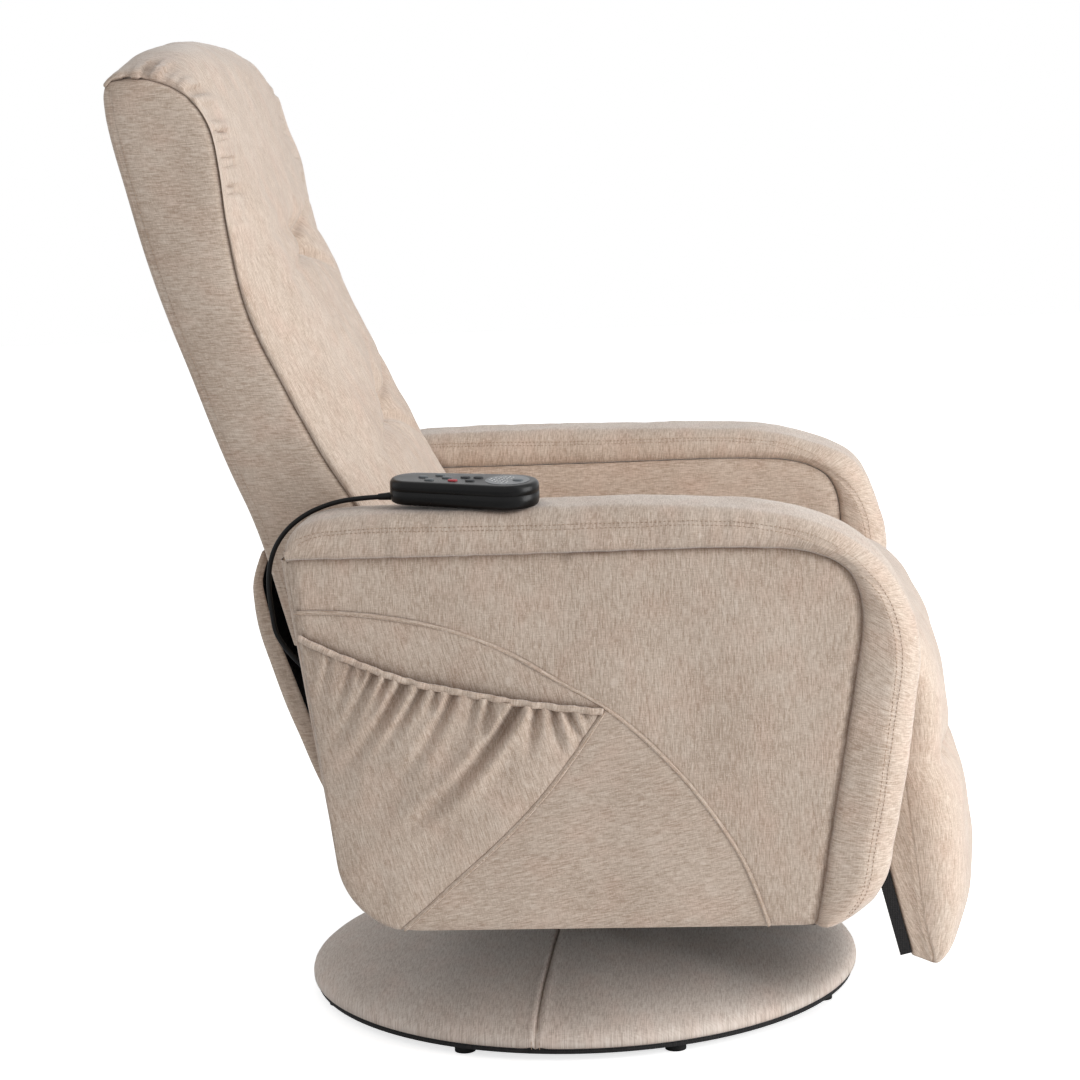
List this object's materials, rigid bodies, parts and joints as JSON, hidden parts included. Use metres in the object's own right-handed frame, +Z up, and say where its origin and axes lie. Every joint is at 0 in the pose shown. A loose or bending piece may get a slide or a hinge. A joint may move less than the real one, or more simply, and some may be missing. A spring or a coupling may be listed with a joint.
{
  "type": "swivel recliner massage chair",
  "caption": "Upholstered swivel recliner massage chair on a round padded base, with linked legrest, arm-side pocket and corded handset.",
  "frame": {"origin": "on the floor, on the swivel axis, under the centre of the round base", "axes": "+X towards the sitter's feet and the legrest, +Y to the sitter's left, +Z up"},
  "size_m": [0.8638, 0.795, 1.0492],
  "materials": {
    "oatmeal_fabric": "slubby woven chenille, oatmeal",
    "black_cloth": "thin black non-woven dust cloth",
    "plywood": "bare plywood",
    "black_steel": "satin black powder coat",
    "zinc_steel": "zinc-plated steel",
    "black_plastic": "fine-textured black moulding",
    "handset_black": "satin black moulding",
    "display_black": "glossy black disc with white dots",
    "button_grey": "grey rubberised key",
    "button_dark": "dark key",
    "button_red": "red key",
    "circuit_green": "green circuit board",
    "cord_black": "flexible black sheath",
    "glide_plastic": "black polythene glide",
    "nylon": "off-white nylon",
    "elastic_web": "black elastic webbing",
    "heat_foil": "felt-backed heating element"
  },
  "bodies": {
    "base": {"base_feet": "glide_plastic", "base_plate": "plywood", "base_cover": "oatmeal_fabric", "base_column": "black_steel", "column_bush": "nylon", "thrust_washer": "nylon"},
    "backrest": {"back_frame": "black_steel", "back_hinge_plates": "black_steel", "recline_pins": "zinc_steel", "back_webbing": "elastic_web", "heat_pad": "heat_foil", "back_motors": "black_plastic", "back_body": "oatmeal_fabric", "back_cushion": "oatmeal_fabric"},
    "legrest": {"legrest_board": "black_cloth", "legrest_pad": "oatmeal_fabric", "legrest_brackets": "black_steel", "legrest_pins": "zinc_steel", "legrest_motors": "black_plastic"},
    "push_rods": {"push_rods": "zinc_steel"},
    "handset": {"handset_base": "handset_black", "handset_top": "handset_black", "handset_circuit": "circuit_green", "handset_display": "display_black", "handset_relief": "cord_black"},
    "back_key": {"back_button": "button_grey"},
    "speed_key": {"speed_button": "button_grey"},
    "seat_key": {"seat_button": "button_grey"},
    "mode_key": {"mode_button": "button_grey"},
    "power_key": {"power_button": "button_red"},
    "heat_key": {"heat_button": "button_dark"},
    "timer_key": {"timer_button": "button_dark"},
    "legs_key": {"legs_button": "button_dark"},
    "zone_key": {"zone_button": "button_grey"},
    "chair_body": {"spindle": "zinc_steel", "swivel_plate": "black_steel", "swivel_bolts": "zinc_steel", "chassis_beams": "black_steel", "bottom_cover": "black_cloth", "front_panel": "black_cloth", "rear_rail": "plywood", "control_box": "black_plastic", "power_inlet": "black_plastic", "right_arm_frame": "plywood", "left_arm_frame": "plywood", "right_arm_pad": "oatmeal_fabric", "left_arm_pad": "oatmeal_fabric", "right_side_panel": "oatmeal_fabric", "left_side_panel": "oatmeal_fabric", "inner_panels": "oatmeal_fabric", "side_pocket": "oatmeal_fabric", "mechanism_plates": "black_steel", "seat_side_rails": "black_steel", "seat_cross_rails": "black_steel", "seat_springs": "zinc_steel", "seat_motors": "black_plastic", "seat_cushion": "oatmeal_fabric", "back_skirt": "oatmeal_fabric", "handset_cord": "cord_black", "cord_gland": "black_plastic"}
  },
  "joints": [
    {"name": "swivel", "type": "hinge", "parent": "base", "child": "chair_body", "pos_m": [0, 0, 0.158], "axis": [0, 0, 1], "continuous": true},
    {"name": "back_recline", "type": "hinge", "parent": "chair_body", "child": "backrest", "pos_m": [-0.19, 0, 0.4], "axis": [0, -1, 0], "range_deg": [0, 30], "deforming": ["back_skirt"]},
    {"name": "legrest_lift", "type": "hinge", "parent": "chair_body", "child": "legrest", "pos_m": [0.316, 0, 0.38], "axis": [0, -1, 0], "range_deg": [0, 75]},
    {"name": "push_rod_turn", "type": "hinge", "parent": "backrest", "child": "push_rods", "pos_m": [-0.22044, 0, 0.28641], "axis": [0, -1, 0], "range_deg": [-30, 0]},
    {"name": "handset_lift", "type": "slide", "parent": "chair_body", "child": "handset", "axis": [0, 0, 1], "range_m": [0, 0.12], "deforming": ["handset_cord"]},
    {"name": "back_press", "type": "slide", "parent": "handset", "child": "back_key", "axis": [-0.0144, 0.0744, -0.9971], "range_m": [0, 0.001], "stiffness_N_per_m": 400},
    {"name": "speed_press", "type": "slide", "parent": "handset", "child": "speed_key", "axis": [-0.0144, 0.0744, -0.9971], "range_m": [0, 0.001], "stiffness_N_per_m": 400},
    {"name": "seat_press", "type": "slide", "parent": "handset", "child": "seat_key", "axis": [-0.0144, 0.0744, -0.9971], "range_m": [0, 0.001], "stiffness_N_per_m": 400},
    {"name": "mode_press", "type": "slide", "parent": "handset", "child": "mode_key", "axis": [-0.0144, 0.0744, -0.9971], "range_m": [0, 0.001], "stiffness_N_per_m": 400},
    {"name": "power_press", "type": "slide", "parent": "handset", "child": "power_key", "axis": [-0.0144, 0.0744, -0.9971], "range_m": [0, 0.001], "stiffness_N_per_m": 400},
    {"name": "heat_press", "type": "slide", "parent": "handset", "child": "heat_key", "axis": [-0.0144, 0.0744, -0.9971], "range_m": [0, 0.001], "stiffness_N_per_m": 400},
    {"name": "timer_press", "type": "slide", "parent": "handset", "child": "timer_key", "axis": [-0.0144, 0.0744, -0.9971], "range_m": [0, 0.001], "stiffness_N_per_m": 400},
    {"name": "legs_press", "type": "slide", "parent": "handset", "child": "legs_key", "axis": [-0.0144, 0.0744, -0.9971], "range_m": [0, 0.001], "stiffness_N_per_m": 400},
    {"name": "zone_press", "type": "slide", "parent": "handset", "child": "zone_key", "axis": [-0.0144, 0.0744, -0.9971], "range_m": [0, 0.001], "stiffness_N_per_m": 400}
  ],
  "couplings": [
    {"joint": "legrest_lift", "follows": "back_recline", "ratio": 2.5},
    {"joint": "push_rod_turn", "follows": "back_recline", "ratio": -1}
  ]
}
